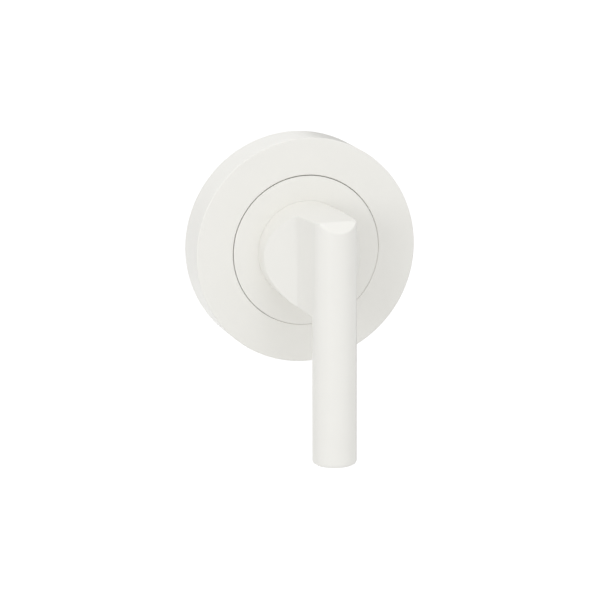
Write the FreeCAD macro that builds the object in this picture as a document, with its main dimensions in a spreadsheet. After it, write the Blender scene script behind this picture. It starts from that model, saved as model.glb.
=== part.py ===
import FreeCAD, Part
import os
import Sketcher

# A bathroom thumb turn on its round rose, in millimetres.
# X is to the right, Z is up and the door's face is the plane Y = 0.
# The object stands out of the door towards -Y, so a depth of 5 is at Y = -5,
# and a depth below zero is inside the door.

SIZES = [
    # rose cover
    ("rose_radius", 26.0, "outer radius of the rose cover"),
    ("rose_depth", 9.8, "from the door to the cover's face"),
    ("cover_wall", 1.3, "wall of the cover's rim"),
    ("cover_face", 1.5, "wall of the cover's face"),
    ("rim_break", 0.3, "bevel between the rim and the face"),
    ("face_width", 8.65, "ring of the cover's face round its opening"),
    ("opening_gap", 0.1, "gap round the centre disc"),
    ("opening_break", 0.08, "bevel on both edges of that gap"),
    # mounting plate
    ("plate_thickness", 2.4, "web of the mounting plate"),
    ("plate_gap", 0.15, "between the plate's rim and the cover"),
    ("plate_rim_wall", 1.35, "wall of the plate's rim"),
    ("plate_rim_gap", 0.6, "between the plate's rim and the housing's flange"),
    ("tube_gap", 0.15, "between the plate and the housing's tube"),
    ("pillar_wall", 1.05, "wall of the threaded pillars for the housing's screws"),
    ("pillar_floor", 0.8, "left under the blind hole in each pillar"),
    # open ring of flat wire that the cover clicks over
    ("snap_thickness", 0.9, "thickness of the wire, along the depth"),
    ("snap_width", 1.0, "width of the wire, across the ring"),
    ("snap_catch", 0.35, "how far the ring reaches into the cover's groove"),
    ("snap_gap", 0.05, "between the wire and its two grooves"),
    ("snap_opening", 24.0, "degrees between the ring's two ends"),
    # housing that carries the turn
    ("flange_inset", 2.4, "from the rose's outline in to the housing's flange"),
    ("flange_thickness", 2.4, "thickness of that flange"),
    ("flange_gap", 0.1, "between the flange and the cover's face"),
    ("tube_end_depth", 0.6, "from the door to the tube's end"),
    ("tube_wall", 1.2, "wall of the tube round the washers"),
    ("front_seat_depth", 1.2, "recess in the disc for the front bush"),
    ("rear_seat", 5.2, "from the door to the rear bush's seat"),
    # bushes
    ("bush_wall", 2.4, "wall of both bushes"),
    ("bush_gap", 0.05, "between a bush and its housing"),
    ("bush_end_gap", 0.2, "between the two bushes' sleeves"),
    ("front_flange_inset", 0.15, "front flange's edge under the hub's outline"),
    ("rear_flange_thickness", 0.9, "thickness of the rear flange"),
    ("hub_stand", 0.08, "front flange stands proud of the disc"),
    # the turn, one casting
    ("hub_radius", 11.5, "round hub of the turn, at its back"),
    ("hub_wall", 4.2, "side of the hub, from its back to the slopes"),
    ("neck_start", 11.4, "from the hub's back to the neck's walls"),
    ("neck_half", 5.5, "half of the neck's width where its walls start"),
    ("bar_radius", 5.0, "round hanging bar"),
    ("bar_depth", 30.5, "from the door to the bar's axis"),
    ("bar_reach", 44.9, "from the rose's centre down to the bar's foot"),
    ("foot_round", 1.0, "rounding of the bar's foot"),
    ("seam_half", 6.0, "half of the width of the neck's top and bottom surfaces"),
    ("crown_fall", 0.5, "from the hub's outline down to the crown at the bar's front"),
    ("crown_arch", 0.2, "how far that crown is arched across its width"),
    ("belly_swell", 0.5, "how much deeper the neck is at the bar's front, below"),
    ("belly_arch", 1.0, "how far the neck's underside is arched there"),
    ("facet_height", 2.25, "from the crown down to the front facet's lower edge"),
    ("facet_run", 6.0, "depth over which the facet is drawn"),
    ("facet_rise", 5.0, "height that it gains over that depth"),
    # shank of the turn
    ("shank_radius", 5.5, "shank behind the hub"),
    ("running_gap", 0.05, "between the shank and its bushes"),
    ("shank_tail", 3.6, "shank's end inside the door"),
    ("flat_cut", 0.8, "depth of each flat on the shank"),
    ("groove_cut", 0.5, "depth of the circlip's groove"),
    # spindle and its pin
    ("spindle_side", 5.0, "square spindle, across its sides"),
    ("socket_gap", 0.05, "between the spindle and its socket"),
    ("socket_top", 10.0, "depth of the socket's blind end"),
    ("spindle_end_gap", 0.4, "between the spindle and that end"),
    ("spindle_reach", 45.0, "spindle's end inside the door"),
    ("spindle_break", 0.6, "bevel on the spindle's far end"),
    ("pin_radius", 1.0, "spring pin through shank and spindle"),
    ("pin_bore", 0.45, "hollow of the spring pin"),
    ("pin_gap", 0.03, "between the pin and its hole"),
    ("pin_inset", 1.8, "from the shank's end to the pin's axis"),
    # circlip and washers on the shank
    ("clip_thickness", 0.9, "shank's circlip"),
    ("clip_gap", 0.05, "circlip's play on each side"),
    ("clip_proud", 1.6, "how far the circlip stands out of the shank"),
    ("clip_mouth", 2.0, "half of the circlip's opening"),
    ("clip_eye_radius", 0.95, "the two eyes at the circlip's ends"),
    ("clip_hole_radius", 0.5, "holes in those eyes"),
    ("washer_gap", 0.15, "between the round washers and the shank"),
    ("thrust_thickness", 0.5, "thrust washer"),
    ("thrust_inset", 0.9, "between the thrust washer and the tube"),
    ("cone_thickness", 0.4, "cone spring washer's strip"),
    ("cone_height", 0.4, "what the cone adds to that"),
    ("cone_inset", 1.9, "between the cone spring washer and the tube"),
    # stop washer and the land that stops it
    ("stop_thickness", 1.0, "stop washer"),
    ("key_gap", 0.05, "between the shank's flats and the stop washer"),
    ("key_half", 3.2, "half of the length of the washer's two inner flats"),
    ("stop_land_gap", 0.6, "between the stop washer's rim and the land"),
    ("stop_rim", 1.8, "width of the stop washer round the shank"),
    ("tab_catch", 1.0, "how far the tab reaches over the land"),
    ("tab_gap", 0.4, "between the tab and the tube"),
    ("tab_sweep", 24.0, "degrees that the tab covers"),
    ("turn_travel", 90.0, "degrees that the turn swings either way"),
    ("stop_slack", 0.6, "degrees between the tab and each stop at its limit"),
    ("stop_land_front", 0.8, "land in front of the stop washer"),
    ("stop_land_back", 0.6, "land behind the stop washer"),
    # fixings
    ("bolt_inset", 7.0, "from the rose's outline in to the circle of fixing holes"),
    ("bolt_hole_radius", 2.2, "holes for through bolts, one above the other"),
    ("wood_screw_radius", 1.75, "timber screws, over their thread"),
    ("wood_screw_gap", 0.15, "round the timber screws in the plate"),
    ("wood_head_radius", 3.3, "countersunk heads of the timber screws"),
    ("wood_head_rim", 0.3, "straight rim of those heads"),
    ("wood_head_sink", 0.1, "from the plate's face down to those heads"),
    ("wood_screw_reach", 16.0, "timber screws' points inside the door"),
    ("wood_screw_taper", 5.0, "length of their tapered points"),
    ("cross_width", 0.9, "arms of the cross recess"),
    ("cross_reach", 1.9, "from the recess's centre to the ends of its arms"),
    ("cross_depth", 1.3, "depth of the recess"),
    ("slot_width", 1.0, "driver slots"),
    ("slot_share", 0.45, "slot's depth as a share of the head's height"),
    ("screw_inset", 3.05, "from the disc's outline out to the housing screws' axes"),
    ("screw_radius", 1.5, "housing screws"),
    ("screw_gap", 0.1, "round the housing screws"),
    ("screw_head_radius", 2.5, "heads of the housing screws"),
    ("screw_head_height", 1.4, "heads of the housing screws"),
    ("screw_end_gap", 0.6, "between a screw's end and the floor of its hole"),
]
FULL_TURN = 360.0
WOOD_SCREWS = 2


class Size:
    """A size from the sheet, or a sum of sizes: its number, and the expression that gives it."""

    def __init__(self, number, text):
        self.number = number
        self.text = text

    def __add__(self, other):
        other = as_size(other)
        return Size(self.number + other.number, "(%s + %s)" % (self.text, other.text))

    def __sub__(self, other):
        other = as_size(other)
        return Size(self.number - other.number, "(%s - %s)" % (self.text, other.text))

    def __mul__(self, factor):
        factor = as_size(factor)
        return Size(self.number * factor.number, "(%s * %s)" % (self.text, factor.text))

    def __truediv__(self, other):
        other = as_size(other)
        return Size(self.number / other.number, "(%s / %s)" % (self.text, other.text))

    def __neg__(self):
        return Size(-self.number, "(0 - %s)" % self.text)


def root_of(size):
    return Size(size.number ** 0.5, "sqrt(%s)" % size.text)


def as_size(value):
    return value if isinstance(value, Size) else Size(float(value), str(value))


class Sizes:
    """Every driving size by its name."""

    def __init__(self, sheet):
        for row, (name, value, note) in enumerate(SIZES, start=1):
            sheet.set("A%d" % row, name)
            sheet.set("B%d" % row, str(value))
            sheet.set("C%d" % row, note)
            sheet.setAlias("B%d" % row, name)
            setattr(self, name, Size(value, "%s.%s" % (sheet.Name, name)))


# Sketches. Every corner is tied to its two distances from the sketch's origin.


def sketch_on(body, role, name, offset=None):
    sketch = body.newObject("Sketcher::SketchObject", name)
    plane = next(item for item in body.Origin.OriginFeatures if item.Role == role)
    sketch.AttachmentSupport = (plane, [""])
    sketch.MapMode = "FlatFace"
    if offset is not None:
        shift = FreeCAD.Vector(0, 0, offset.number)
        sketch.AttachmentOffset = FreeCAD.Placement(shift, FreeCAD.Rotation())
        sketch.setExpression("AttachmentOffset.Base.z", offset.text)
    return sketch


def tie(sketch, constraint, size):
    index = sketch.addConstraint(constraint)
    sketch.setExpression("Constraints[%d]" % index, size.text)


def tie_point(sketch, geometry, point, across, along):
    for kind, axis, size in (("DistanceX", -2, across), ("DistanceY", -1, along)):
        if size.number == 0:
            sketch.addConstraint(Sketcher.Constraint("PointOnObject", geometry, point, axis))
        else:
            tie(sketch, Sketcher.Constraint(kind, -1, 1, geometry, point, size.number), size)


def add_outline(sketch, corners):
    corners = [(as_size(across), as_size(along)) for across, along in corners]
    points = [FreeCAD.Vector(across.number, along.number, 0) for across, along in corners]
    first = sketch.GeometryCount
    for index, point in enumerate(points):
        sketch.addGeometry(Part.LineSegment(point, points[(index + 1) % len(points)]), False)
    for index, (across, along) in enumerate(corners):
        following = first + (index + 1) % len(points)
        sketch.addConstraint(Sketcher.Constraint("Coincident", first + index, 2, following, 1))
        tie_point(sketch, first + index, 1, across, along)


def add_circle(sketch, across, along, radius):
    across, along = as_size(across), as_size(along)
    centre = FreeCAD.Vector(across.number, along.number, 0)
    upright = FreeCAD.Vector(0, 0, 1)
    index = sketch.addGeometry(Part.Circle(centre, upright, radius.number), False)
    tie_point(sketch, index, 3, across, along)
    tie(sketch, Sketcher.Constraint("Radius", index, radius.number), radius)


def add_box(sketch, left, low, right, high):
    add_outline(sketch, [(left, low), (right, low), (right, high), (left, high)])


def add_axis(sketch, across):
    """An upright construction line to turn a section about, where it isn't the sketch's own axis."""
    low = FreeCAD.Vector(across.number, 0, 0)
    high = FreeCAD.Vector(across.number, 1, 0)
    index = sketch.addGeometry(Part.LineSegment(low, high), True)
    sketch.addConstraint(Sketcher.Constraint("Vertical", index))
    tie_point(sketch, index, 1, across, as_size(0))
    tie(sketch, Sketcher.Constraint("DistanceY", index, 1, index, 2, 1.0), as_size(1))


def add_arcs(sketch, corners, rises):
    """A closed outline of arcs through the corners. Each rise is how far an arc stands out of its chord."""
    points = [FreeCAD.Vector(across.number, along.number, 0) for across, along in corners]
    upright = FreeCAD.Vector(0, 0, 1)
    for index, start in enumerate(points):
        end = points[(index + 1) % len(points)]
        chord = end - start
        outward = chord.cross(upright)
        outward.normalize()
        crest = (start + end) / 2 + outward * rises[index].number
        sketch.addGeometry(Part.Arc(start, crest, end), False)
    for index, (across, along) in enumerate(corners):
        following = (index + 1) % len(points)
        sketch.addConstraint(Sketcher.Constraint("Coincident", index, 2, following, 1))
        tie_point(sketch, index, 1, across, along)
        (next_across, next_along), rise = corners[following], rises[index]
        level, upward = next_across - across, next_along - along
        half_squared = (level * level + upward * upward) / 4
        radius = (half_squared + rise * rise) / (rise * 2)
        tie(sketch, Sketcher.Constraint("Radius", index, radius.number), radius)


# Features. Each cut is compared with the solid that it cuts.


def new_body(doc, label):
    body = doc.addObject("PartDesign::Body", label)
    body.Label = label
    return body


def set_size(feature, name, size):
    setattr(feature, name, size.number)
    feature.setExpression(name, size.text)


def extrude(body, kind, sketch, name, length, middle=False, reverse=False):
    before = body.Shape.Volume if kind == "Pocket" else None
    feature = body.newObject("PartDesign::" + kind, name)
    feature.Profile = sketch
    feature.SideType = "Symmetric" if middle else "One side"
    feature.Reversed = reverse
    set_size(feature, "Length", length)
    finish_feature(feature, before)
    return feature


def revolve(body, kind, sketch, name, sweep=None, axis="V_Axis", axis_at=None):
    before = body.Shape.Volume if kind == "Groove" else None
    if axis_at is not None:
        add_axis(sketch, axis_at)
    feature = body.newObject("PartDesign::" + kind, name)
    feature.Profile = sketch
    feature.ReferenceAxis = (sketch, [axis])
    if sweep is None:
        feature.Angle = FULL_TURN
    else:
        feature.Midplane = True
        set_size(feature, "Angle", sweep)
    finish_feature(feature, before)
    return feature


def finish_feature(feature, volume_before):
    feature.Document.recompute()
    if volume_before is not None and feature.Shape.Volume > volume_before - 1e-6:
        raise RuntimeError(feature.Name + " cuts nothing")


def dress(body, kind, name, edges, property_name, size):
    base = body.Tip
    feature = body.newObject("PartDesign::" + kind, name)
    feature.Base = (base, edges)
    set_size(feature, property_name, size)
    feature.Document.recompute()
    return feature


def edges_where(shape, test):
    return ["Edge%d" % index for index, edge in enumerate(shape.Edges, start=1) if test(edge)]


def turned_body(doc, label, corners, sweep=None):
    """A body turned about the Y axis from corners given as (radius, depth)."""
    body = new_body(doc, label)
    sketch = sketch_on(body, "XY_Plane", label + "_section")
    add_outline(sketch, [(radius, -as_size(depth)) for radius, depth in corners])
    revolve(body, "Revolution", sketch, label + "_turned", sweep)
    return body


def mirror_of(doc, item, name, plane_normal):
    twin = doc.addObject("Part::Mirroring", name)
    twin.Source = item
    twin.Normal = plane_normal
    return twin


def group_of(doc, label, items):
    """Several separate solids as one node."""
    group = doc.addObject("Part::Compound", label)
    group.Label = label
    group.Links = items
    doc.recompute()
    return group


# Sizes that follow from the driving ones.


class Places:
    """Places and fits shared by several sub-parts, as depths and radii."""

    def __init__(self, v):
        # the rose, from its outline in
        self.opening_radius = v.rose_radius - v.face_width
        self.disc_radius = self.opening_radius - v.opening_gap
        self.cover_inner = v.rose_radius - v.cover_wall
        self.plate_radius = self.cover_inner - v.plate_gap
        self.plate_rim_inner = self.plate_radius - v.plate_rim_wall
        self.flange_radius = v.rose_radius - v.flange_inset
        self.bolt_spread = v.rose_radius - v.bolt_inset
        self.wood_screw_spread = self.bolt_spread / root_of(as_size(2))
        self.screw_spread = self.disc_radius + v.screw_inset

        # the rose, from its face back
        self.cover_underside = v.rose_depth - v.cover_face
        self.flange_front = self.cover_underside - v.flange_gap
        self.flange_back = self.flange_front - v.flange_thickness
        self.plate_rim_height = self.flange_back - v.plate_rim_gap
        self.snap_depth = (v.plate_thickness + self.plate_rim_height) / 2
        self.front_seat = v.rose_depth - v.front_seat_depth
        self.hub_back = v.rose_depth + v.hub_stand
        self.bush_length = (self.front_seat - v.rear_seat - v.bush_end_gap) / 2
        self.screw_seat = self.flange_front - v.screw_head_height - v.screw_gap
        self.screw_tip = v.pillar_floor + v.screw_end_gap

        # the bearing, from the shank out
        self.shank_hole = v.shank_radius + v.running_gap
        self.washer_hole = v.shank_radius + v.washer_gap
        self.bush_radius = self.shank_hole + v.bush_wall
        self.bearing_bore = self.bush_radius + v.bush_gap
        self.front_flange_radius = v.hub_radius - v.front_flange_inset
        self.flat_half = v.shank_radius - v.flat_cut
        self.groove_radius = v.shank_radius - v.groove_cut
        self.clip_radius = v.shank_radius + v.clip_proud
        self.stop_radius = v.shank_radius + v.stop_rim
        self.stop_land_radius = self.stop_radius + v.stop_land_gap
        self.tab_radius = self.stop_land_radius + v.tab_catch
        self.chamber_radius = self.tab_radius + v.tab_gap
        self.tube_radius = self.chamber_radius + v.tube_wall

        # the washers, from the rear bush back
        self.thrust_front = v.rear_seat - v.rear_flange_thickness
        self.cone_front = self.thrust_front - v.thrust_thickness
        self.stop_front = self.cone_front - v.cone_thickness - v.cone_height
        self.stop_back = self.stop_front - v.stop_thickness
        self.groove_back = self.stop_back - v.clip_thickness - v.clip_gap * 2


# The rose: cover, plate, snap ring and housing.


def make_rose_cover(doc, v, p):
    body = turned_body(doc, "rose_cover", [
        (p.opening_radius + v.opening_break, v.rose_depth),
        (v.rose_radius - v.rim_break, v.rose_depth),
        (v.rose_radius, v.rose_depth - v.rim_break),
        (v.rose_radius, 0),
        (p.cover_inner, 0),
        (p.cover_inner, p.cover_underside),
        (p.opening_radius, p.cover_underside),
        (p.opening_radius, v.rose_depth - v.opening_break),
    ])
    cut_snap_groove(body, v, p, p.plate_radius, p.cover_inner + v.snap_catch + v.snap_gap)
    return body


def cut_snap_groove(body, v, p, inner, outer):
    half = v.snap_thickness / 2 + v.snap_gap
    groove = sketch_on(body, "XY_Plane", body.Label + "_groove_section")
    add_box(groove, inner, -(p.snap_depth + half), outer, half - p.snap_depth)
    revolve(body, "Groove", groove, body.Label + "_snap_groove")


def make_mounting_plate(doc, v, p):
    plate_hole = p.tube_radius + v.tube_gap
    body = turned_body(doc, "mounting_plate", [
        (plate_hole, 0),
        (p.plate_radius, 0),
        (p.plate_radius, p.plate_rim_height),
        (p.plate_rim_inner, p.plate_rim_height),
        (p.plate_rim_inner, v.plate_thickness),
        (plate_hole, v.plate_thickness),
    ])
    ring_inner = p.cover_inner + v.snap_catch - v.snap_width
    cut_snap_groove(body, v, p, ring_inner - v.snap_gap, p.cover_inner)

    pillar_hole = v.screw_radius + v.screw_gap / 2
    pillars = sketch_on(body, "XZ_Plane", "pillar_circles")
    threads = sketch_on(body, "XZ_Plane", "pillar_holes", p.flange_back)
    for side in (-1, 1):
        add_circle(pillars, p.screw_spread * side, 0, pillar_hole + v.pillar_wall)
        add_circle(threads, p.screw_spread * side, 0, pillar_hole)
    extrude(body, "Pad", pillars, "pillars", p.flange_back)
    extrude(body, "Pocket", threads, "pillar_bores", p.flange_back - v.pillar_floor)

    holes = sketch_on(body, "XZ_Plane", "bolt_holes")
    for side in (-1, 1):
        add_circle(holes, 0, p.bolt_spread * side, v.bolt_hole_radius)
    extrude(body, "Pocket", holes, "bolt_bores", v.plate_thickness * 3, middle=True)
    cut_wood_screw_holes(body, v, p)
    return body


def cut_wood_screw_holes(body, v, p):
    """One countersunk hole on the diagonal, repeated on the plate's other side."""
    spread = p.wood_screw_spread
    hole = v.wood_screw_radius + v.wood_screw_gap
    seat = v.wood_head_radius + v.wood_screw_gap
    rim = v.plate_thickness - v.wood_head_sink - v.wood_head_rim
    section = sketch_on(body, "XY_Plane", "wood_hole_section", spread)
    add_outline(section, [
        (spread, v.plate_thickness),
        (spread + hole, v.plate_thickness),
        (spread + hole, -(rim - (seat - hole))),
        (spread + seat, -rim),
        (spread + seat, -(v.plate_thickness * 2)),
        (spread, -(v.plate_thickness * 2)),
    ])
    bore = revolve(body, "Groove", section, "wood_screw_hole", axis="Axis0", axis_at=spread)
    repeat = body.newObject("PartDesign::PolarPattern", "wood_screw_holes")
    repeat.Originals = [bore]
    repeat.Axis = (next(item for item in body.Origin.OriginFeatures if item.Role == "Y_Axis"), [""])
    repeat.Angle = FULL_TURN
    repeat.Occurrences = WOOD_SCREWS
    body.Tip = repeat
    body.Document.recompute()


def make_snap_ring(doc, v, p):
    """An open ring of flat wire, which closes when the cover is pushed over it."""
    outer = p.cover_inner + v.snap_catch
    inner = outer - v.snap_width
    half = v.snap_thickness / 2
    return turned_body(doc, "cover_snap_ring", [
        (inner, p.snap_depth + half),
        (outer, p.snap_depth + half),
        (outer, p.snap_depth - half),
        (inner, p.snap_depth - half),
    ], -(v.snap_opening - FULL_TURN))


def make_turn_housing(doc, v, p):
    body = turned_body(doc, "turn_housing", [
        (p.bearing_bore, p.front_seat),
        (p.front_flange_radius + v.bush_gap, p.front_seat),
        (p.front_flange_radius + v.bush_gap, v.rose_depth),
        (p.disc_radius - v.opening_break, v.rose_depth),
        (p.disc_radius, v.rose_depth - v.opening_break),
        (p.disc_radius, p.flange_front),
        (p.flange_radius, p.flange_front),
        (p.flange_radius, p.flange_back),
        (p.tube_radius, p.flange_back),
        (p.tube_radius, v.tube_end_depth),
        (p.chamber_radius, v.tube_end_depth),
        (p.chamber_radius, v.rear_seat),
        (p.bearing_bore, v.rear_seat),
    ])
    # the land whose two ends stop the tab, at the bottom of the chamber
    land = sketch_on(body, "YZ_Plane", "stop_land_section")
    land_back = p.stop_back - v.stop_land_back
    land_front = p.stop_front + v.stop_land_front
    land_root = p.chamber_radius + v.tube_wall / 2
    add_box(land, -land_front, -land_root, -land_back, -p.stop_land_radius)
    free_sweep = (v.turn_travel + v.stop_slack) * 2 + v.tab_sweep
    revolve(body, "Revolution", land, "stop_land", -(free_sweep - FULL_TURN), "H_Axis")

    heads = sketch_on(body, "XZ_Plane", "screw_head_circles", p.flange_front)
    holes = sketch_on(body, "XZ_Plane", "screw_hole_circles", p.flange_front)
    for side in (-1, 1):
        add_circle(heads, p.screw_spread * side, 0, v.screw_head_radius + v.screw_gap)
        add_circle(holes, p.screw_spread * side, 0, v.screw_radius + v.screw_gap)
    extrude(body, "Pocket", heads, "screw_head_seats", v.screw_head_height + v.screw_gap)
    extrude(body, "Pocket", holes, "screw_holes", v.flange_thickness * 2)
    return body


# The bearing: two bushes.


def make_front_bush(doc, v, p):
    return turned_body(doc, "front_bush", [
        (p.shank_hole, p.hub_back),
        (p.front_flange_radius, p.hub_back),
        (p.front_flange_radius, p.front_seat),
        (p.bush_radius, p.front_seat),
        (p.bush_radius, p.front_seat - p.bush_length),
        (p.shank_hole, p.front_seat - p.bush_length),
    ])


def make_rear_bush(doc, v, p):
    flange_radius = p.chamber_radius - v.tab_gap
    return turned_body(doc, "rear_bush", [
        (p.shank_hole, p.thrust_front),
        (flange_radius, p.thrust_front),
        (flange_radius, v.rear_seat),
        (p.bush_radius, v.rear_seat),
        (p.bush_radius, v.rear_seat + p.bush_length),
        (p.shank_hole, v.rear_seat + p.bush_length),
    ])


# The turn: one casting of hub, sloped neck, bar and shank.


def make_thumb_turn(doc, v, p):
    body = new_body(doc, "thumb_turn")
    add_plan(body, v, p)
    add_flank(doc, body, v, p)
    add_facet(body, v, p)
    add_hanging_bar(body, v)
    add_shank(body, v, p)
    return body


def add_plan(body, v, p):
    """What is seen from above: hub, two slopes, neck and the bar's round front."""
    spare = v.hub_wall / 2
    outer = v.hub_radius + spare
    slope = (v.neck_start - v.hub_wall) / (v.hub_radius - v.neck_half)
    outer_depth = p.hub_back + v.hub_wall - slope * spare
    neck_depth = p.hub_back + v.neck_start
    plan = sketch_on(body, "XY_Plane", "turn_plan")
    add_outline(plan, [
        (-outer, -p.hub_back),
        (outer, -p.hub_back),
        (outer, -outer_depth),
        (v.neck_half, -neck_depth),
        (v.bar_radius, -v.bar_depth),
        (-v.bar_radius, -v.bar_depth),
        (-v.neck_half, -neck_depth),
        (-outer, -outer_depth),
    ])
    extrude(body, "Pad", plan, "turn_plan_pad", outer * 2, middle=True)
    front = sketch_on(body, "XY_Plane", "bar_top_circle")
    add_circle(front, 0, -v.bar_depth, v.bar_radius)
    extrude(body, "Pad", front, "bar_top", outer * 2, middle=True)


def add_flank(doc, body, v, p):
    """What is seen from the front: the hub's round outline, lofted to a flatter one at the bar's front."""
    flank = new_body(doc, "turn_flank")
    front = v.bar_depth + v.bar_radius
    wide = v.seam_half
    tall = root_of(v.hub_radius * v.hub_radius - wide * wide)
    side_rise = v.hub_radius - wide
    cap_rise = v.hub_radius - tall
    back = sketch_on(flank, "XZ_Plane", "hub_circle", p.hub_back)
    corners = [(wide, -tall), (wide, tall), (-wide, tall), (-wide, -tall)]
    add_arcs(back, corners, [side_rise, cap_rise, side_rise, cap_rise])

    crown = v.hub_radius - v.crown_fall - v.crown_arch
    belly = v.hub_radius + v.belly_swell - v.belly_arch
    ahead = sketch_on(flank, "XZ_Plane", "bar_front_outline", front)
    corners = [(wide, -belly), (wide, crown), (-wide, crown), (-wide, -belly)]
    add_arcs(ahead, corners, [side_rise, v.crown_arch, side_rise, v.belly_arch])
    loft = flank.newObject("PartDesign::AdditiveLoft", "neck_loft")
    loft.Profile = back
    loft.Sections = [ahead]
    loft.Ruled = True
    doc.recompute()

    before = body.Shape.Volume
    common = body.newObject("PartDesign::Boolean", "turn_outline")
    common.Type = "Common"
    common.setObjects([flank])
    finish_feature(common, before)


def add_facet(body, v, p):
    """The sloping flat across the bar's front, at its top."""
    bar_front = v.bar_depth + v.bar_radius
    foot = v.hub_radius - v.crown_fall - v.facet_height
    lift = v.hub_radius * 2
    facet = sketch_on(body, "YZ_Plane", "facet_side")
    add_outline(facet, [
        (-bar_front, foot),
        (v.facet_run - bar_front, foot + v.facet_rise),
        (v.facet_run - bar_front, lift),
        (-bar_front - v.bar_radius, lift),
        (-bar_front - v.bar_radius, foot),
    ])
    extrude(body, "Pocket", facet, "facet", v.hub_radius * 3, middle=True)


def add_hanging_bar(body, v):
    hanging = sketch_on(body, "XY_Plane", "bar_circle")
    add_circle(hanging, 0, -v.bar_depth, v.bar_radius)
    extrude(body, "Pad", hanging, "hanging_bar", v.bar_reach, reverse=True)

    def is_foot(edge):
        return edge.BoundBox.ZMax < -v.bar_reach.number + 1e-3

    foot = edges_where(body.Shape, is_foot)
    dress(body, "Fillet", "foot_rounding", foot, "Radius", v.foot_round)


def add_shank(body, v, p):
    groove_front = p.stop_back
    shank = sketch_on(body, "XY_Plane", "shank_section")
    add_outline(shank, [
        (0, -p.hub_back),
        (v.shank_radius, -p.hub_back),
        (v.shank_radius, -groove_front),
        (p.groove_radius, -groove_front),
        (p.groove_radius, -p.groove_back),
        (v.shank_radius, -p.groove_back),
        (v.shank_radius, v.shank_tail),
        (0, v.shank_tail),
    ])
    revolve(body, "Revolution", shank, "shank")

    flats = sketch_on(body, "XY_Plane", "shank_flats")
    for side in (-1, 1):
        near, away = p.flat_half * side, v.shank_radius * 2 * side
        add_box(flats, near, -p.stop_front, away, v.shank_tail * 2)
    extrude(body, "Pocket", flats, "shank_flat_cuts", v.shank_radius * 3, middle=True)

    half = v.spindle_side / 2 + v.socket_gap
    socket = sketch_on(body, "XY_Plane", "socket_side")
    add_box(socket, -half, -v.socket_top, half, v.shank_tail * 2)
    extrude(body, "Pocket", socket, "spindle_socket", half * 2, middle=True)

    hole = sketch_on(body, "YZ_Plane", "pin_circle")
    add_circle(hole, v.shank_tail - v.pin_inset, 0, v.pin_radius + v.pin_gap)
    extrude(body, "Pocket", hole, "pin_hole", v.shank_radius * 3, middle=True)


# What the shank carries.


def make_spindle(doc, v, p):
    body = new_body(doc, "spindle")
    half = v.spindle_side / 2
    top = v.socket_top - v.spindle_end_gap
    section = sketch_on(body, "XZ_Plane", "spindle_section", top)
    add_box(section, -half, -half, half, half)
    extrude(body, "Pad", section, "spindle_bar", top + v.spindle_reach, reverse=True)

    def is_far_end(edge):
        return edge.BoundBox.YMin > v.spindle_reach.number - 1e-3

    far_end = edges_where(body.Shape, is_far_end)
    dress(body, "Chamfer", "spindle_bevel", far_end, "Size", v.spindle_break)
    hole = sketch_on(body, "YZ_Plane", "spindle_pin_circle")
    add_circle(hole, v.shank_tail - v.pin_inset, 0, v.pin_radius + v.pin_gap)
    extrude(body, "Pocket", hole, "spindle_pin_hole", v.spindle_side * 3, middle=True)
    return body


def make_spindle_pin(doc, v, p):
    body = new_body(doc, "spindle_pin")
    section = sketch_on(body, "YZ_Plane", "pin_section")
    add_circle(section, v.shank_tail - v.pin_inset, 0, v.pin_radius)
    add_circle(section, v.shank_tail - v.pin_inset, 0, v.pin_bore)
    extrude(body, "Pad", section, "pin_tube", p.flat_half * 2, middle=True)
    return body


def make_thrust_washer(doc, v, p):
    return turned_body(doc, "thrust_washer", [
        (p.washer_hole, p.cone_front),
        (p.chamber_radius - v.thrust_inset, p.cone_front),
        (p.chamber_radius - v.thrust_inset, p.thrust_front),
        (p.washer_hole, p.thrust_front),
    ])


def make_cone_spring(doc, v, p):
    return turned_body(doc, "cone_spring_washer", [
        (p.washer_hole, p.stop_front),
        (p.chamber_radius - v.cone_inset, p.cone_front - v.cone_thickness),
        (p.chamber_radius - v.cone_inset, p.cone_front),
        (p.washer_hole, p.stop_front + v.cone_thickness),
    ])


def make_stop_washer(doc, v, p):
    hole = v.shank_radius + v.key_gap
    body = turned_body(doc, "stop_washer", [
        (hole, p.stop_back),
        (p.stop_radius, p.stop_back),
        (p.stop_radius, p.stop_front),
        (hole, p.stop_front),
    ])
    # the two sides of the hole that meet the shank's flats
    key = p.flat_half + v.key_gap
    keys = sketch_on(body, "XZ_Plane", "key_boxes", p.stop_back)
    middle = (p.stop_radius + v.shank_radius) / 2
    for side in (-1, 1):
        add_box(keys, key * side, -v.key_half, middle * side, v.key_half)
    extrude(body, "Pad", keys, "keys", v.stop_thickness)

    tab = sketch_on(body, "YZ_Plane", "tab_section")
    add_box(tab, -p.stop_front, middle, -p.stop_back, p.tab_radius)
    revolve(body, "Revolution", tab, "tab", v.tab_sweep, "H_Axis")
    return body


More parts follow.
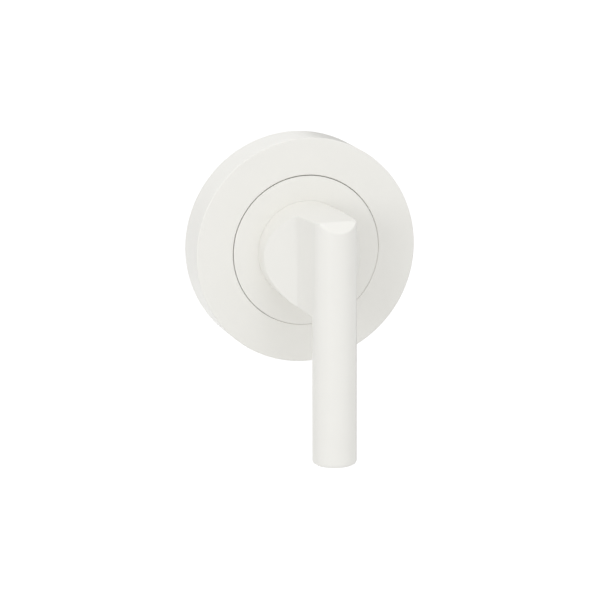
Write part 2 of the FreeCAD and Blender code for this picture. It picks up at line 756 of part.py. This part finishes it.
def make_shank_circlip(doc, v, p):
    """An open ring with an eye at each end of its mouth, which points down."""
    back = p.groove_back + v.clip_gap
    inner = p.groove_radius + v.clip_gap
    body = turned_body(doc, "shank_circlip", [
        (inner, back),
        (p.clip_radius, back),
        (p.clip_radius, back + v.clip_thickness),
        (inner, back + v.clip_thickness),
    ])
    eye_centre = v.clip_mouth + v.clip_eye_radius
    ring_middle = (p.clip_radius + p.groove_radius) / 2
    eyes = sketch_on(body, "XZ_Plane", "eye_circles", back)
    for side in (-1, 1):
        add_circle(eyes, eye_centre * side, -ring_middle, v.clip_eye_radius)
    extrude(body, "Pad", eyes, "eyes", v.clip_thickness)

    mouth = sketch_on(body, "XZ_Plane", "mouth_box", back)
    add_box(mouth, -v.clip_mouth, -p.clip_radius * 2, v.clip_mouth, Size(0.0, "0"))
    extrude(body, "Pocket", mouth, "mouth", v.clip_thickness * 3, middle=True)

    holes = sketch_on(body, "XZ_Plane", "eye_holes", back)
    for side in (-1, 1):
        add_circle(holes, eye_centre * side, -ring_middle, v.clip_hole_radius)
    extrude(body, "Pocket", holes, "eye_bores", v.clip_thickness * 3, middle=True)
    return body


# Fixings. Each is made on the axis and then moved out to its place.


def make_slotted_screw(doc, v, label, head_radius, head_height, radius, length):
    """A screw whose head's underside is at Y = 0 and whose shank goes to +Y."""
    body = turned_body(doc, label, [
        (0, head_height),
        (head_radius, head_height),
        (head_radius, 0),
        (radius, 0),
        (radius, -length),
        (0, -length),
    ])
    slot = sketch_on(body, "XZ_Plane", label + "_slot_box", head_height)
    half = v.slot_width / 2
    add_box(slot, -half, -head_radius * 2, half, head_radius * 2)
    extrude(body, "Pocket", slot, label + "_slot", head_height * v.slot_share)
    return body


def move_out(body, across, up, depth):
    """Moves a body to a place across, up and out of the door."""
    for axis, size in (("x", as_size(across)), ("y", -as_size(depth)), ("z", as_size(up))):
        body.setExpression("Placement.Base." + axis, size.text)
    body.Document.recompute()


def make_wood_screws(doc, v, p):
    """Two countersunk timber screws with a cross recess."""
    head = v.plate_thickness - v.wood_head_sink
    neck = head - v.wood_head_rim - (v.wood_head_radius - v.wood_screw_radius)
    screw = turned_body(doc, "wood_screw", [
        (0, head),
        (v.wood_head_radius, head),
        (v.wood_head_radius, head - v.wood_head_rim),
        (v.wood_screw_radius, neck),
        (v.wood_screw_radius, v.wood_screw_taper - v.wood_screw_reach),
        (0, -v.wood_screw_reach),
    ])
    half = v.cross_width / 2
    for name, across, along in (("cross_level", v.cross_reach, half), ("cross_upright", half, v.cross_reach)):
        arm = sketch_on(screw, "XZ_Plane", name, head)
        add_box(arm, -across, -along, across, along)
        extrude(screw, "Pocket", arm, name + "_cut", v.cross_depth)
    move_out(screw, p.wood_screw_spread, p.wood_screw_spread, 0)
    twin = mirror_of(doc, screw, "lower_wood_screw", FreeCAD.Vector(1, 0, 1))
    return group_of(doc, "wood_screws", [screw, twin])


def make_housing_screws(doc, v, p):
    screw = make_slotted_screw(doc, v, "right_screw", v.screw_head_radius, v.screw_head_height,
                               v.screw_radius, p.screw_seat - p.screw_tip)
    move_out(screw, p.screw_spread, 0, p.screw_seat)
    twin = mirror_of(doc, screw, "left_screw", FreeCAD.Vector(1, 0, 0))
    return group_of(doc, "housing_screws", [screw, twin])


MAKERS = [
    make_rose_cover,
    make_mounting_plate,
    make_snap_ring,
    make_turn_housing,
    make_front_bush,
    make_rear_bush,
    make_thumb_turn,
    make_spindle,
    make_spindle_pin,
    make_thrust_washer,
    make_cone_spring,
    make_stop_washer,
    make_shank_circlip,
    make_wood_screws,
    make_housing_screws,
]


def check(doc, nodes):
    for item in doc.Objects:
        if "Invalid" in item.State or "Error" in item.State:
            raise RuntimeError("%s is %s" % (item.Name, item.State))
    for node in nodes:
        if node.Shape.isNull() or not node.Shape.isValid() or not node.Shape.Solids:
            raise RuntimeError(node.Label + " has no valid solid")


def main():
    doc = FreeCAD.newDocument("thumb_turn_lock")
    sheet = doc.addObject("Spreadsheet::Sheet", "sizes")
    v = Sizes(sheet)
    doc.recompute()
    p = Places(v)
    nodes = [maker(doc, v, p) for maker in MAKERS]
    doc.recompute()
    check(doc, nodes)
    os.makedirs("parts", exist_ok=True)
    for node in nodes:
        node.Shape.exportStep("parts/%s.step" % node.Label)
        print(node.Label, "solids", len(node.Shape.Solids), "volume", round(node.Shape.Volume, 2))


main()
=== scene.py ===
import math

import bmesh
import bpy
import numpy as np
from mathutils import Matrix, Vector


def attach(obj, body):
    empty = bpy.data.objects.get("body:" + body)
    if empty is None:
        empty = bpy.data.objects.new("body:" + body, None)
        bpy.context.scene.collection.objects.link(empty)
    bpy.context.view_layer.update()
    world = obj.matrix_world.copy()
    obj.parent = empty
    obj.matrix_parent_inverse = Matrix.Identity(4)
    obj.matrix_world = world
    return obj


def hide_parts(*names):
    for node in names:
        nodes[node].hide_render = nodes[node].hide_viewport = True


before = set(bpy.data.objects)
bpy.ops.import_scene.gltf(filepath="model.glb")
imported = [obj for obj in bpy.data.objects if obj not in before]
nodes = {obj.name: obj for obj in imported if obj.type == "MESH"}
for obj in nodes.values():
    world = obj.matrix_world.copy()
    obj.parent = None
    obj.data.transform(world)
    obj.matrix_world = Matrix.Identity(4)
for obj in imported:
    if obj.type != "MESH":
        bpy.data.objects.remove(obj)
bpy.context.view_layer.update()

mm = 0.001
whiteLight = (1.0, 1.0, 1.0, 1.0)
fullTurn = 2 * math.pi

# The photograph's view: a long lens, up and to the left of the rose. Angles are in degrees here and below.
view = {
    "azimuth": -17.204,
    "elevation": 12.624,
    "roll": -0.181,
    "distance": 763.37 * mm,
    "across": -1.417 * mm,
    "up": 13.368 * mm,
    "lens": 198.5,
    "sensor": 36.0,
}

# Soft studio light: a pale surround, one very large lamp in front, smaller ones round it, and two panels behind the
# set, out of the camera's sight, which dull its round edges. The floor's size is half of its side.
studio = {
    "surround": 0.738,
    "lamps": {
        "frontLamp": {"azimuth": 0.0, "elevation": 0.0, "size": 2.2, "power": 2.60},
        "sideLamp": {"azimuth": -45.0, "elevation": 10.0, "size": 0.45, "power": 1.33},
        "topLamp": {"azimuth": 0.0, "elevation": 80.0, "size": 0.45, "power": 1.235},
        "backLamp": {"azimuth": 180.0, "elevation": 60.0, "size": 0.45, "power": 0.25},
    },
    "lampDistance": 0.95,
    "aim": (0.0, -0.012, -0.008),
    "panels": {
        "leftPanel": {"azimuth": -128.0, "width": 0.32, "glow": 0.76},
        "rightPanel": {"azimuth": 143.0, "width": 0.23, "glow": 0.28},
    },
    "panelDistance": 0.36,
    "panelHeight": 0.44,
    "floorHeight": -0.3,
    "floorSize": 4.0,
    "floorColour": (0.82, 0.82, 0.82, 1.0),
    "floorLift": 0.5,
}


# A unit vector. The azimuth is counted from -Y towards +X, and the elevation up from level.
def direction(azimuth, elevation):
    turn, rise = math.radians(azimuth), math.radians(elevation)
    return Vector((math.sin(turn) * math.cos(rise), -math.cos(turn) * math.cos(rise), math.sin(rise)))


def placeCamera():
    turn, roll = math.radians(view["azimuth"]), math.radians(view["roll"])
    back = direction(view["azimuth"], view["elevation"])
    level = Vector((math.cos(turn), math.sin(turn), 0.0))
    upright = back.cross(level)
    right = level * math.cos(roll) + upright * math.sin(roll)
    up = upright * math.cos(roll) - level * math.sin(roll)
    cameraData = bpy.data.cameras.new("photoCamera")
    cameraData.lens = view["lens"]
    cameraData.sensor_width = view["sensor"]
    camera = bpy.data.objects.new("photoCamera", cameraData)
    camera.matrix_world = Matrix((right, up, back)).transposed().to_4x4()
    camera.location = back * view["distance"] - right * view["across"] - up * view["up"]
    bpy.context.scene.collection.objects.link(camera)
    bpy.context.scene.camera = camera
    print("camera placed")


# A value in a node tree. Sums and products on it become Math nodes.
class Wire:
    def __init__(self, finish, socket):
        self.finish = finish
        self.socket = socket

    def maths(self, operation, first, second):
        return self.finish.add("ShaderNodeMath", {"operation": operation}, {0: first, 1: second})

    def __add__(self, other):
        return self.maths("ADD", self, other)

    def __sub__(self, other):
        return self.maths("SUBTRACT", self, other)

    def __rsub__(self, other):
        return self.maths("SUBTRACT", other, self)

    def __mul__(self, other):
        return self.maths("MULTIPLY", self, other)

    __radd__ = __add__


# The node tree of one material or world, and the way to add nodes to it.
class Finish:
    def __init__(self, owner):
        owner.use_nodes = True
        self.owner = owner
        self.tree = owner.node_tree
        self.tree.nodes.clear()

    def add(self, kind, settings=None, inputs=None, output=0):
        node = self.tree.nodes.new(kind)
        for name, value in (settings or {}).items():
            setattr(node, name, value)
        for name, value in (inputs or {}).items():
            if isinstance(value, Wire):
                self.tree.links.new(value.socket, node.inputs[name])
            else:
                node.inputs[name].default_value = value
        return Wire(self, node.outputs[output]) if node.outputs else None

    # Object coordinates, each multiplied by its own scale.
    def place(self, scale=(1.0, 1.0, 1.0)):
        where = self.add("ShaderNodeTexCoord", output="Object")
        return self.add("ShaderNodeVectorMath", {"operation": "MULTIPLY"}, {0: where, 1: scale})

    def noise(self, where, scale, detail, rough=0.5):
        return self.add("ShaderNodeTexNoise", {"noise_dimensions": "3D"},
                        {"Vector": where, "Scale": scale, "Detail": detail, "Roughness": rough})

    # Sockets 0, 6 and 7 are the share and the two colours, and output 2 is the mixed colour.
    def mix(self, share, first, second):
        return self.add("ShaderNodeMix", {"data_type": "RGBA"}, {0: share, 6: first, 7: second}, output=2)

    def bump(self, strength, distance, height, **more):
        return self.add("ShaderNodeBump", inputs={"Strength": strength, "Distance": distance, "Height": height, **more})

    def finishWith(self, inputs):
        shader = self.add("ShaderNodeBsdfPrincipled", inputs=inputs)
        self.add("ShaderNodeOutputMaterial", inputs={"Surface": shader})
        return self.owner


# Satin powder coat, as on the whole visible set. Each casting has its own patch of it and its own soft edges.
powderCoat = {
    "colour": (0.880, 0.872, 0.832, 1.0),
    "shade": (0.860, 0.852, 0.812, 1.0),
    "roughness": 0.33,
    "cloudScale": 120.0,
    "cloudDetail": 3.0,
    "cloudSpread": 0.06,
    "speckScale": 2600.0,
    "speckDetail": 1.0,
    "speckSpread": 0.10,
    "peelScale": 900.0,
    "peelDetail": 2.0,
    "peelRough": 0.45,
    "peelStrength": 0.35,
    "peelHeight": 0.012 * mm,
    "edgeSamples": 6,
}
castings = {
    "coverCoat": {"shift": 0.0, "edgeRound": 0.12 * mm},
    "housingCoat": {"shift": 0.31, "edgeRound": 0.08 * mm},
    "turnCoat": {"shift": 0.67, "edgeRound": 0.14 * mm},
}


def makePowderCoat(name):
    coat = powderCoat
    shift = castings[name]["shift"]
    finish = Finish(bpy.data.materials.new(name))
    objectPlace = finish.add("ShaderNodeTexCoord", output="Object")
    where = finish.add("ShaderNodeMapping", inputs={"Vector": objectPlace, "Location": (shift, shift, 0.0)})
    cloud = finish.noise(where, coat["cloudScale"], coat["cloudDetail"])
    peel = finish.noise(where, coat["peelScale"], coat["peelDetail"], coat["peelRough"])
    speck = finish.noise(where, coat["speckScale"], coat["speckDetail"])
    colour = finish.mix(cloud, coat["colour"], coat["shade"])
    roughness = coat["roughness"] + (speck - 0.5) * coat["speckSpread"] + (cloud - 0.5) * coat["cloudSpread"]
    edge = {"Radius": castings[name]["edgeRound"]}
    softEdge = finish.add("ShaderNodeBevel", {"samples": coat["edgeSamples"]}, edge)
    normal = finish.bump(coat["peelStrength"], coat["peelHeight"], peel, Normal=softEdge)
    return finish.finishWith({"Base Color": colour, "Roughness": roughness, "Normal": normal})


# Metals: a fine grain, drawn out along Y on the spindle, over wide stains.
metals = {
    "castPlate": {
        "colour": (0.60, 0.60, 0.61, 1.0), "shade": (0.45, 0.45, 0.46, 1.0),
        "roughness": 0.42, "grain": (1.0, 1.0, 1.0), "scale": 700.0,
    },
    "springSteel": {
        "colour": (0.30, 0.30, 0.31, 1.0), "shade": (0.20, 0.20, 0.21, 1.0),
        "roughness": 0.34, "grain": (1.0, 1.0, 1.0), "scale": 1400.0,
    },
    "washerSteel": {
        "colour": (0.58, 0.58, 0.59, 1.0), "shade": (0.46, 0.46, 0.47, 1.0),
        "roughness": 0.36, "grain": (1.0, 1.0, 1.0), "scale": 1800.0,
    },
    "spindleSteel": {
        "colour": (0.60, 0.60, 0.59, 1.0), "shade": (0.50, 0.50, 0.49, 1.0),
        "roughness": 0.30, "grain": (1.0, 0.02, 1.0), "scale": 2600.0,
    },
    "zincSteel": {
        "colour": (0.66, 0.67, 0.70, 1.0), "shade": (0.55, 0.56, 0.58, 1.0),
        "roughness": 0.28, "grain": (1.0, 1.0, 1.0), "scale": 900.0,
    },
}
metalMarks = {
    "grainDetail": 4.0, "grainRough": 0.6, "grainShare": 0.6, "grainSpread": 0.1,
    "stainScale": 160.0, "stainDetail": 3.0, "stainShare": 0.4, "stainSpread": 0.2,
    "bumpStrength": 0.3, "bumpHeight": 0.01 * mm,
}


def makeMetal(name):
    look, marks = metals[name], metalMarks
    finish = Finish(bpy.data.materials.new(name))
    where = finish.place(look["grain"])
    grain = finish.noise(where, look["scale"], marks["grainDetail"], marks["grainRough"])
    stain = finish.noise(finish.place(), marks["stainScale"], marks["stainDetail"])
    blend = grain * marks["grainShare"] + stain * marks["stainShare"]
    colour = finish.mix(blend, look["colour"], look["shade"])
    roughness = look["roughness"] + (stain - 0.5) * marks["stainSpread"] + (grain - 0.5) * marks["grainSpread"]
    normal = finish.bump(marks["bumpStrength"], marks["bumpHeight"], grain)
    return finish.finishWith({"Base Color": colour, "Metallic": 1.0, "Roughness": roughness, "Normal": normal})


# Natural acetal: a pale cloud and the fine lines of the lathe, which run round Y.
acetal = {
    "colour": (0.80, 0.79, 0.74, 1.0), "shade": (0.72, 0.71, 0.66, 1.0),
    "roughness": 0.38, "cloudScale": 200.0, "cloudDetail": 3.0, "cloudSpread": 0.15,
    "lines": (0.05, 1.0, 0.05), "lineScale": 4000.0, "lineDetail": 2.0, "lineStrength": 0.25, "lineHeight": 0.01 * mm,
}


def makeAcetal(name):
    finish = Finish(bpy.data.materials.new(name))
    cloud = finish.noise(finish.place(), acetal["cloudScale"], acetal["cloudDetail"])
    lines = finish.noise(finish.place(acetal["lines"]), acetal["lineScale"], acetal["lineDetail"])
    colour = finish.mix(cloud, acetal["colour"], acetal["shade"])
    roughness = acetal["roughness"] + (cloud - 0.5) * acetal["cloudSpread"]
    normal = finish.bump(acetal["lineStrength"], acetal["lineHeight"], lines)
    return finish.finishWith({"Base Color": colour, "Roughness": roughness, "Normal": normal})


# Materials that new pieces share with the solids that they stand for.
coats = {name: makePowderCoat(name) for name in castings}
screwZinc = makeMetal("zincSteel")


def dress(material, *names):
    for name in names:
        slots = nodes[name].data.materials
        slots.clear()
        slots.append(material)


def dressNodes():
    dress(coats["coverCoat"], "rose_cover")
    dress(coats["housingCoat"], "turn_housing")
    dress(coats["turnCoat"], "thumb_turn")
    dress(makeMetal("castPlate"), "mounting_plate")
    dress(makeMetal("springSteel"), "cover_snap_ring", "spindle_pin", "cone_spring_washer", "shank_circlip")
    dress(makeMetal("washerSteel"), "thrust_washer", "stop_washer")
    dress(makeMetal("spindleSteel"), "spindle")
    dress(screwZinc, "wood_screws", "housing_screws")
    dress(makeAcetal("bushAcetal"), "front_bush", "rear_bush")
    print("nodes dressed")


# Faces of a grid of points, numbered row by row. Rows and columns may each run round and meet.
def gridFaces(rows, columns, rowsMeet, columnsMeet):
    row = np.arange(rows if rowsMeet else rows - 1)[:, None]
    column = np.arange(columns if columnsMeet else columns - 1)[None, :]
    nextRow, nextColumn = (row + 1) % rows, (column + 1) % columns
    corners = [(row, column), (nextRow, column), (nextRow, nextColumn), (row, nextColumn)]
    return np.stack([down * columns + along for down, along in corners], axis=2).reshape(-1, 4)


# Six times the volume inside the faces: the sum of each corner's dot product with the cross product of the next two.
def looksOutward(points, faces):
    first, second, third, fourth = (points[faces[:, number]] for number in range(4))
    spans = np.cross(second, third) + np.cross(third, fourth)
    return float((first * spans).sum()) > 0.0


# Edges that turn by more than this stay sharp in the shading.
sharpFrom = 34.0


def addPiece(name, points, faces, material, body, slotName, *replaced):
    mesh = bpy.data.meshes.new(name)
    mesh.from_pydata(points, [], faces)
    return placePiece(name, mesh, material, body, slotName, *replaced)


def placePiece(name, mesh, material, body, slotName, *replaced):
    mesh.shade_smooth()
    mesh.set_sharp_from_angle(angle=math.radians(sharpFrom))
    mesh.materials.append(material)
    piece = bpy.data.objects.new(name, mesh)
    bpy.context.scene.collection.objects.link(piece)
    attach(piece, body)
    if replaced:
        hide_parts(*replaced)
    print(name, "made of", len(mesh.polygons), "faces")
    return piece


# A closed ring turned about Y. The profile's points are (radius, y) in millimetres, and every point goes round:
# x is the radius times the sine of the angle, and z the radius times its cosine.
def turnedRing(profile, steps):
    radius, along = np.array(profile).T * mm
    angle = np.linspace(0.0, fullTurn, steps, endpoint=False)[:, None]
    points = np.stack([radius * np.sin(angle), along + 0.0 * angle, radius * np.cos(angle)], axis=2).reshape(-1, 3)
    faces = gridFaces(steps, len(radius), True, True)
    return points, faces if looksOutward(points, faces) else faces[:, ::-1]


# A quarter round of a profile: (radius, y) points about its centre, from the start angle back by a right angle.
def quarterRound(radius, along, size, start, steps):
    angle = np.radians(np.linspace(start, start - 90.0, steps + 1))
    return np.stack([radius + size * np.cos(angle), along - size * np.sin(angle)], axis=1).tolist()


# The turn casting: the solid's own mesh, with its sharp outer edges rounded as on a real casting. Points closer than
# "weld" are merged, faces that turn by less than "flat" are joined, and outer edges that turn by more than "crease"
# are rounded, all in front of "hubBack".
turnCasting = {
    "weld": 0.002 * mm, "flat": 0.1, "crease": 22.0, "round": 0.25 * mm, "steps": 4, "profile": 0.5,
    "hubBack": -9.95 * mm,
}


def weldedCopy(node):
    shell = bmesh.new()
    shell.from_mesh(nodes[node].data)
    bmesh.ops.remove_doubles(shell, verts=shell.verts, dist=turnCasting["weld"])
    flat = math.radians(turnCasting["flat"])
    bmesh.ops.dissolve_limit(shell, angle_limit=flat, verts=shell.verts, edges=shell.edges)
    return shell


def makeTurnCasting():
    shell = weldedCopy("thumb_turn")
    crease, hubBack = math.radians(turnCasting["crease"]), turnCasting["hubBack"]
    creased = [edge for edge in shell.edges if edge.calc_face_angle_signed() > crease]
    edges = [edge for edge in creased if max(vert.co.y for vert in edge.verts) < hubBack]
    bmesh.ops.bevel(shell, geom=edges, offset=turnCasting["round"], offset_type="OFFSET",
                    segments=turnCasting["steps"], profile=turnCasting["profile"], affect="EDGES")
    shell.edges.index_update()
    corners = [edge.index for edge in shell.edges if edge.calc_face_angle(0.0) > math.radians(sharpFrom)]
    mesh = bpy.data.meshes.new("turnCasting")
    shell.to_mesh(mesh)
    shell.free()
    piece = placePiece("turnCasting", mesh, coats["turnCoat"], "turn", "coated_turn", "thumb_turn")
    # Blender's own angle mark leaves two edges under the hub smooth, so the corners are marked here as well.
    for index in corners:
        mesh.edges[index].use_edge_sharp = True
    even = piece.modifiers.new("evenNormals", "WEIGHTED_NORMAL")
    even.keep_sharp = True


# A thin lip under the hub's edge, which covers the rim of the bush.
hubLip = {"inner": 11.42, "outer": 11.485, "front": -9.95, "back": -9.815, "steps": 252}


def makeHubLip():
    corners = [("inner", "front"), ("outer", "front"), ("outer", "back"), ("inner", "back")]
    points, faces = turnedRing([(hubLip[radius], hubLip[along]) for radius, along in corners], hubLip["steps"])
    addPiece("hubLip", points, faces, coats["turnCoat"], "turn", "coated_turn")


# The cover, with the rim and the mouth of its opening rounded. "support" is the width of the strips that keep the
# shading of its flat faces even beside those rounds, and "mouthBand" reaches past the mouth's round and its strip.
coverShell = {
    "opening": 17.35, "mouthRound": 0.25, "mouthShift": (-0.03, 0.065), "mouthBand": 1.0,
    "outer": 26.0, "rimRound": 0.32, "face": -9.8, "support": 0.15,
    "inner": 24.7, "ceiling": -8.3, "groove": 25.1, "grooveFront": -4.3, "grooveBack": -3.3,
    "roundSteps": 6, "steps": 252,
}


def makeCoverShell():
    cover = coverShell
    face, outer, inner, groove = (cover[key] for key in ("face", "outer", "inner", "groove"))
    mouthRound, rimRound, support, roundSteps = (
        cover[key] for key in ("mouthRound", "rimRound", "support", "roundSteps"))
    mouth, rim = cover["opening"] + mouthRound, outer - rimRound
    profile = quarterRound(mouth, face + mouthRound, mouthRound, 180.0, roundSteps)
    profile += [(mouth + support, face), (rim - support, face)]
    profile += quarterRound(rim, face + rimRound, rimRound, 90.0, roundSteps)
    profile += [(outer, face + rimRound + support), (outer, 0.0), (inner, 0.0)]
    profile += [(inner, cover["grooveBack"]), (groove, cover["grooveBack"])]
    profile += [(groove, cover["grooveFront"]), (inner, cover["grooveFront"])]
    profile += [(inner, cover["ceiling"]), (cover["opening"], cover["ceiling"])]
    points, faces = turnedRing(profile, cover["steps"])
    # The mouth sits a hair off the centre, so that its gap is widest at the top, as in the photo.
    atMouth = np.hypot(points[:, 0], points[:, 2]) < (mouth + cover["mouthBand"]) * mm
    points[atMouth] += np.array([cover["mouthShift"][0], 0.0, cover["mouthShift"][1]]) * mm
    addPiece("coverShell", points, faces, coats["coverCoat"], "rose", "coated_cover", "rose_cover")


# Timber screws: the solid's countersunk heads, on a shank with a cut thread. "spread" is the place of each screw,
# both across and up from the rose's centre.
timberScrew = {
    "spread": 13.435, "headCut": -0.42, "start": -0.75, "threadStart": 0.5, "threadRise": 1.4, "taper": 11.0,
    "tip": 16.0, "core": 1.25, "crest": 1.75, "pitch": 1.6, "crestShare": 0.27, "rowsPerPitch": 18, "columns": 48,
}


# A helical ridge on a tapered core. Height along the ridge is one less the distance to the nearest crest line, where
# the crest lies at y = pitch times (turn / a full turn + a whole number). The radius is core plus height times depth.
def threadedShank(across, up):
    screw = timberScrew
    start, tip, columns = screw["start"], screw["tip"], screw["columns"]
    rows = int((tip - start) / screw["pitch"] * screw["rowsPerPitch"])
    along = np.linspace(start, tip, rows + 1)[:-1, None]
    angle = np.linspace(0.0, fullTurn, columns, endpoint=False)[None, :]
    offCrest = np.abs((along / screw["pitch"] - angle / fullTurn + 0.5) % 1.0 - 0.5)
    ridge = np.clip(1.0 - offCrest / screw["crestShare"], 0.0, 1.0)
    risen = np.clip((along - screw["threadStart"]) / screw["threadRise"], 0.0, 1.0)
    slim = np.clip((tip - along) / (tip - screw["taper"]), 0.0, 1.0)
    radius = (screw["core"] + (screw["crest"] - screw["core"]) * ridge * risen) * slim
    grid = [radius * np.sin(angle) + across, along + 0.0 * angle, radius * np.cos(angle) + up]
    grid = np.stack(grid, axis=2).reshape(-1, 3)
    ends = [(across, start, up), (across, tip, up)]
    side = gridFaces(rows, columns, False, True)
    around = np.arange(columns)
    following = (around + 1) % columns
    last = (rows - 1) * columns
    firstFan = np.stack([around, following, np.full_like(around, len(grid))], axis=1)
    lastFan = np.stack([last + following, last + around, np.full_like(around, len(grid) + 1)], axis=1)
    blocks = [side, firstFan, lastFan]
    if not looksOutward(grid, side):
        blocks = [block[:, ::-1] for block in blocks]
    return np.vstack([grid, ends]) * mm, [face for block in blocks for face in block.tolist()]


def makeTimberScrews():
    heads = weldedCopy("wood_screws")
    everything = heads.verts[:] + heads.edges[:] + heads.faces[:]
    cut = (0.0, timberScrew["headCut"] * mm, 0.0)
    bmesh.ops.bisect_plane(heads, geom=everything, plane_co=cut, plane_no=(0.0, 1.0, 0.0), clear_outer=True)
    bmesh.ops.holes_fill(heads, edges=[edge for edge in heads.edges if edge.is_boundary])
    heads.verts.index_update()
    points = [tuple(vert.co) for vert in heads.verts]
    faces = [[vert.index for vert in face.verts] for face in heads.faces]
    heads.free()
    for side in (-1.0, 1.0):
        shank, shankFaces = threadedShank(timberScrew["spread"] * side, timberScrew["spread"] * side)
        faces += [[corner + len(points) for corner in face] for face in shankFaces]
        points += shank.tolist()
    addPiece("timberScrews", points, faces, screwZinc, "rose", "zinc_steel", "wood_screws")


# Surround and floor. What the camera, a mirror or glass sees there is white; what lights the object is weaker.
def whiteToTheEye(finish):
    rays = ("Is Camera Ray", "Is Glossy Ray", "Is Transmission Ray")
    camera, glossy, transmission = [finish.add("ShaderNodeLightPath", output=ray) for ray in rays]
    return 1.0 - (1.0 - camera) * (1.0 - glossy) * (1.0 - transmission)


def lightStudio():
    world = bpy.data.worlds.new("paleSurround")
    bpy.context.scene.world = world
    surround = Finish(world)
    strength = whiteToTheEye(surround) * (1.0 - studio["surround"]) + studio["surround"]
    glow = surround.add("ShaderNodeBackground", inputs={"Color": whiteLight, "Strength": strength})
    surround.add("ShaderNodeOutputWorld", inputs={"Surface": glow})
    for name, lamp in studio["lamps"].items():
        light = bpy.data.lights.new(name, "AREA")
        light.shape = "DISK"
        light.size = lamp["size"]
        light.energy = lamp["power"]
        holder = bpy.data.objects.new(name, light)
        holder.location = direction(lamp["azimuth"], lamp["elevation"]) * studio["lampDistance"]
        aim = Vector(studio["aim"]) - holder.location
        holder.rotation_euler = aim.to_track_quat("-Z", "Y").to_euler()
        bpy.context.scene.collection.objects.link(holder)
    print("studio lit")


# One flat piece of the set round the part.
def addStage(name, corners, material, seen):
    mesh = bpy.data.meshes.new(name)
    mesh.from_pydata(corners, [], [(0, 1, 2, 3)])
    mesh.materials.append(material)
    piece = bpy.data.objects.new(name, mesh)
    piece.visible_camera = seen
    bpy.context.scene.collection.objects.link(piece)


def layFloor():
    half, height = studio["floorSize"], studio["floorHeight"]
    finish = Finish(bpy.data.materials.new("paleFloor"))
    strength = whiteToTheEye(finish) * studio["floorLift"]
    body = finish.add("ShaderNodeBsdfDiffuse", inputs={"Color": studio["floorColour"]})
    lift = finish.add("ShaderNodeEmission", inputs={"Color": whiteLight, "Strength": strength})
    both = finish.add("ShaderNodeAddShader", inputs={0: body, 1: lift})
    finish.add("ShaderNodeOutputMaterial", inputs={"Surface": both})
    corners = [(across * half, along * half, height) for across, along in ((-1, -1), (1, -1), (1, 1), (-1, 1))]
    addStage("floor", corners, finish.owner, True)
    print("floor laid")


# Upright panels that face the set. The camera looks through them, so they show only in the coat.
def standPanels():
    for name, panel in studio["panels"].items():
        finish = Finish(bpy.data.materials.new(name))
        glow = finish.add("ShaderNodeEmission", inputs={"Color": whiteLight, "Strength": panel["glow"]})
        finish.add("ShaderNodeOutputMaterial", inputs={"Surface": glow})
        turn = math.radians(panel["azimuth"])
        middle = direction(panel["azimuth"], 0.0) * studio["panelDistance"]
        side = Vector((math.cos(turn), math.sin(turn), 0.0)) * panel["width"] / 2
        up = Vector((0.0, 0.0, studio["panelHeight"] / 2))
        corners = [middle - side - up, middle + side - up, middle + side + up, middle - side + up]
        addStage(name, corners, finish.owner, False)
    print("panels stood")


bpy.context.scene.view_settings.view_transform = "Standard"
placeCamera()
lightStudio()
layFloor()
standPanels()
dressNodes()
makeTurnCasting()
makeHubLip()
makeCoverShell()
makeTimberScrews()
